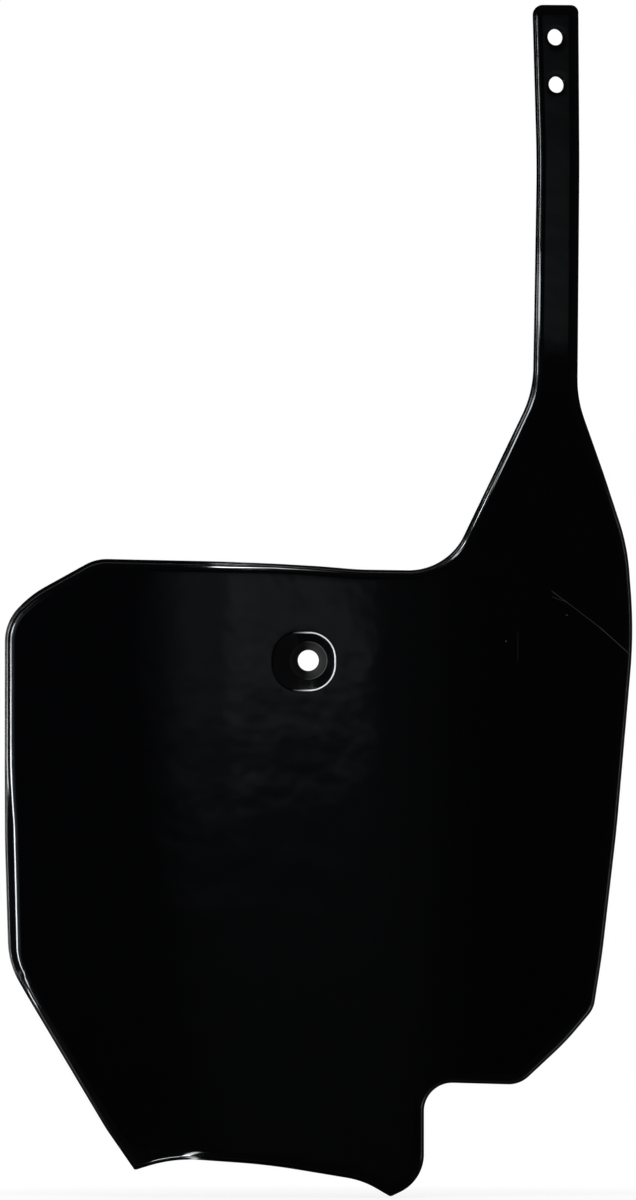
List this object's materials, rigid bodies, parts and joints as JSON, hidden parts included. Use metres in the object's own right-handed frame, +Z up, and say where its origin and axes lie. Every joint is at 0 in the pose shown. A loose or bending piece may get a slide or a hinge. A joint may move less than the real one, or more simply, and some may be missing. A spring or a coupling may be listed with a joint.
{
  "type": "racing number board",
  "caption": "Glossy black moulded motocross number board: flat centre panel, swept wings, turned lip, recessed bolt hole and a long fixing strap with holes.",
  "frame": {"origin": "centre of the bolt hole, on the floor of the recess where the bolt's head seats", "axes": "+Z up along the strap, +X to the viewer's right as seen from the front, front faces -Y"},
  "size_m": [0.2404, 0.0323, 0.4557],
  "materials": {
    "board_plastic": "glossy injection-moulded black plastic with fine handling scratches"
  },
  "bodies": {
    "root": {"number_board": "board_plastic"}
  },
  "joints": []
}
